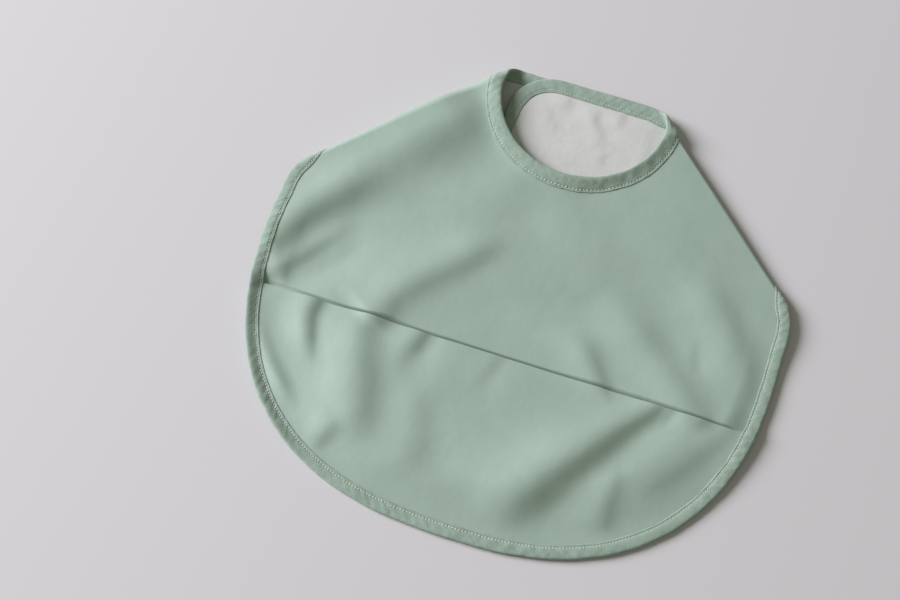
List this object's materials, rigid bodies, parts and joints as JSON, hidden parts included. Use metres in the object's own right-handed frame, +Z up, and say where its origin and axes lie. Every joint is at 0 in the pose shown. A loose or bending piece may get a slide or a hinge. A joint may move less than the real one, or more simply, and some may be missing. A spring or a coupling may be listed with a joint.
{
  "type": "bib",
  "caption": "Sewn waterproof baby bib with a crumb pocket, taped edges and shoulder wings that fold behind and fasten at the back of the neck.",
  "frame": {"origin": "centre of the bib's box, on the table it lies on", "axes": "+X across the bib, towards the right wing as seen from the front; +Y from the hem to the neck; +Z up, out of the front face"},
  "size_m": [0.374, 0.35, 0.0135],
  "materials": {
    "coated_face": "sage polyurethane-coated polyester, satin",
    "white_reverse": "uncoated off-white polyester reverse, matt",
    "binding_tape": "soft sage bias tape, matt",
    "thread": "pale sage polyester sewing thread",
    "hook_tape": "off-white nylon hook tape",
    "loop_tape": "off-white nylon loop tape, brushed"
  },
  "bodies": {
    "front": {"front_panel": "coated_face", "pocket_panel": "coated_face", "outer_binding_front": "binding_tape", "neck_binding_front": "binding_tape", "outer_stitching_front": "thread", "neck_stitching_front": "thread"},
    "left_wing": {"left_wing_panel": "white_reverse", "left_wing_binding": "binding_tape", "left_wing_stitching": "thread", "hook_patch": "hook_tape", "hook_patch_stitching": "thread", "left_shoulder_fold": "coated_face", "left_neck_binding_fold": "binding_tape", "left_outer_binding_fold": "binding_tape"},
    "right_wing": {"right_wing_panel": "white_reverse", "right_wing_neck_binding": "binding_tape", "right_wing_outer_binding": "binding_tape", "right_wing_neck_stitching": "thread", "right_wing_outer_stitching": "thread", "right_wing_tip_panel": "white_reverse", "right_wing_tip_binding": "binding_tape", "right_wing_tip_stitching": "thread", "loop_patch": "loop_tape", "loop_patch_stitching": "thread", "right_shoulder_fold": "coated_face", "right_neck_binding_fold": "binding_tape", "right_outer_binding_fold": "binding_tape"}
  },
  "joints": [
    {"name": "left_wing_fold", "type": "hinge", "parent": "front", "child": "left_wing", "pos_m": [-0.12147, 0.10716, 0.00505], "axis": [0.7268, 0.6866, 0.018], "range_deg": [0, 178], "deforming": ["left_shoulder_fold", "left_neck_binding_fold", "left_outer_binding_fold"]},
    {"name": "right_wing_fold", "type": "hinge", "parent": "front", "child": "right_wing", "pos_m": [0.12204, 0.10775, 0.00588], "axis": [0.7198, -0.6937, -0.028], "range_deg": [0, 178], "deforming": ["right_wing_tip_panel", "right_wing_tip_binding", "right_wing_tip_stitching", "right_shoulder_fold", "right_neck_binding_fold", "right_outer_binding_fold"]}
  ],
  "couplings": [
    {"joint": "right_wing_fold", "follows": "left_wing_fold", "ratio": 1}
  ]
}
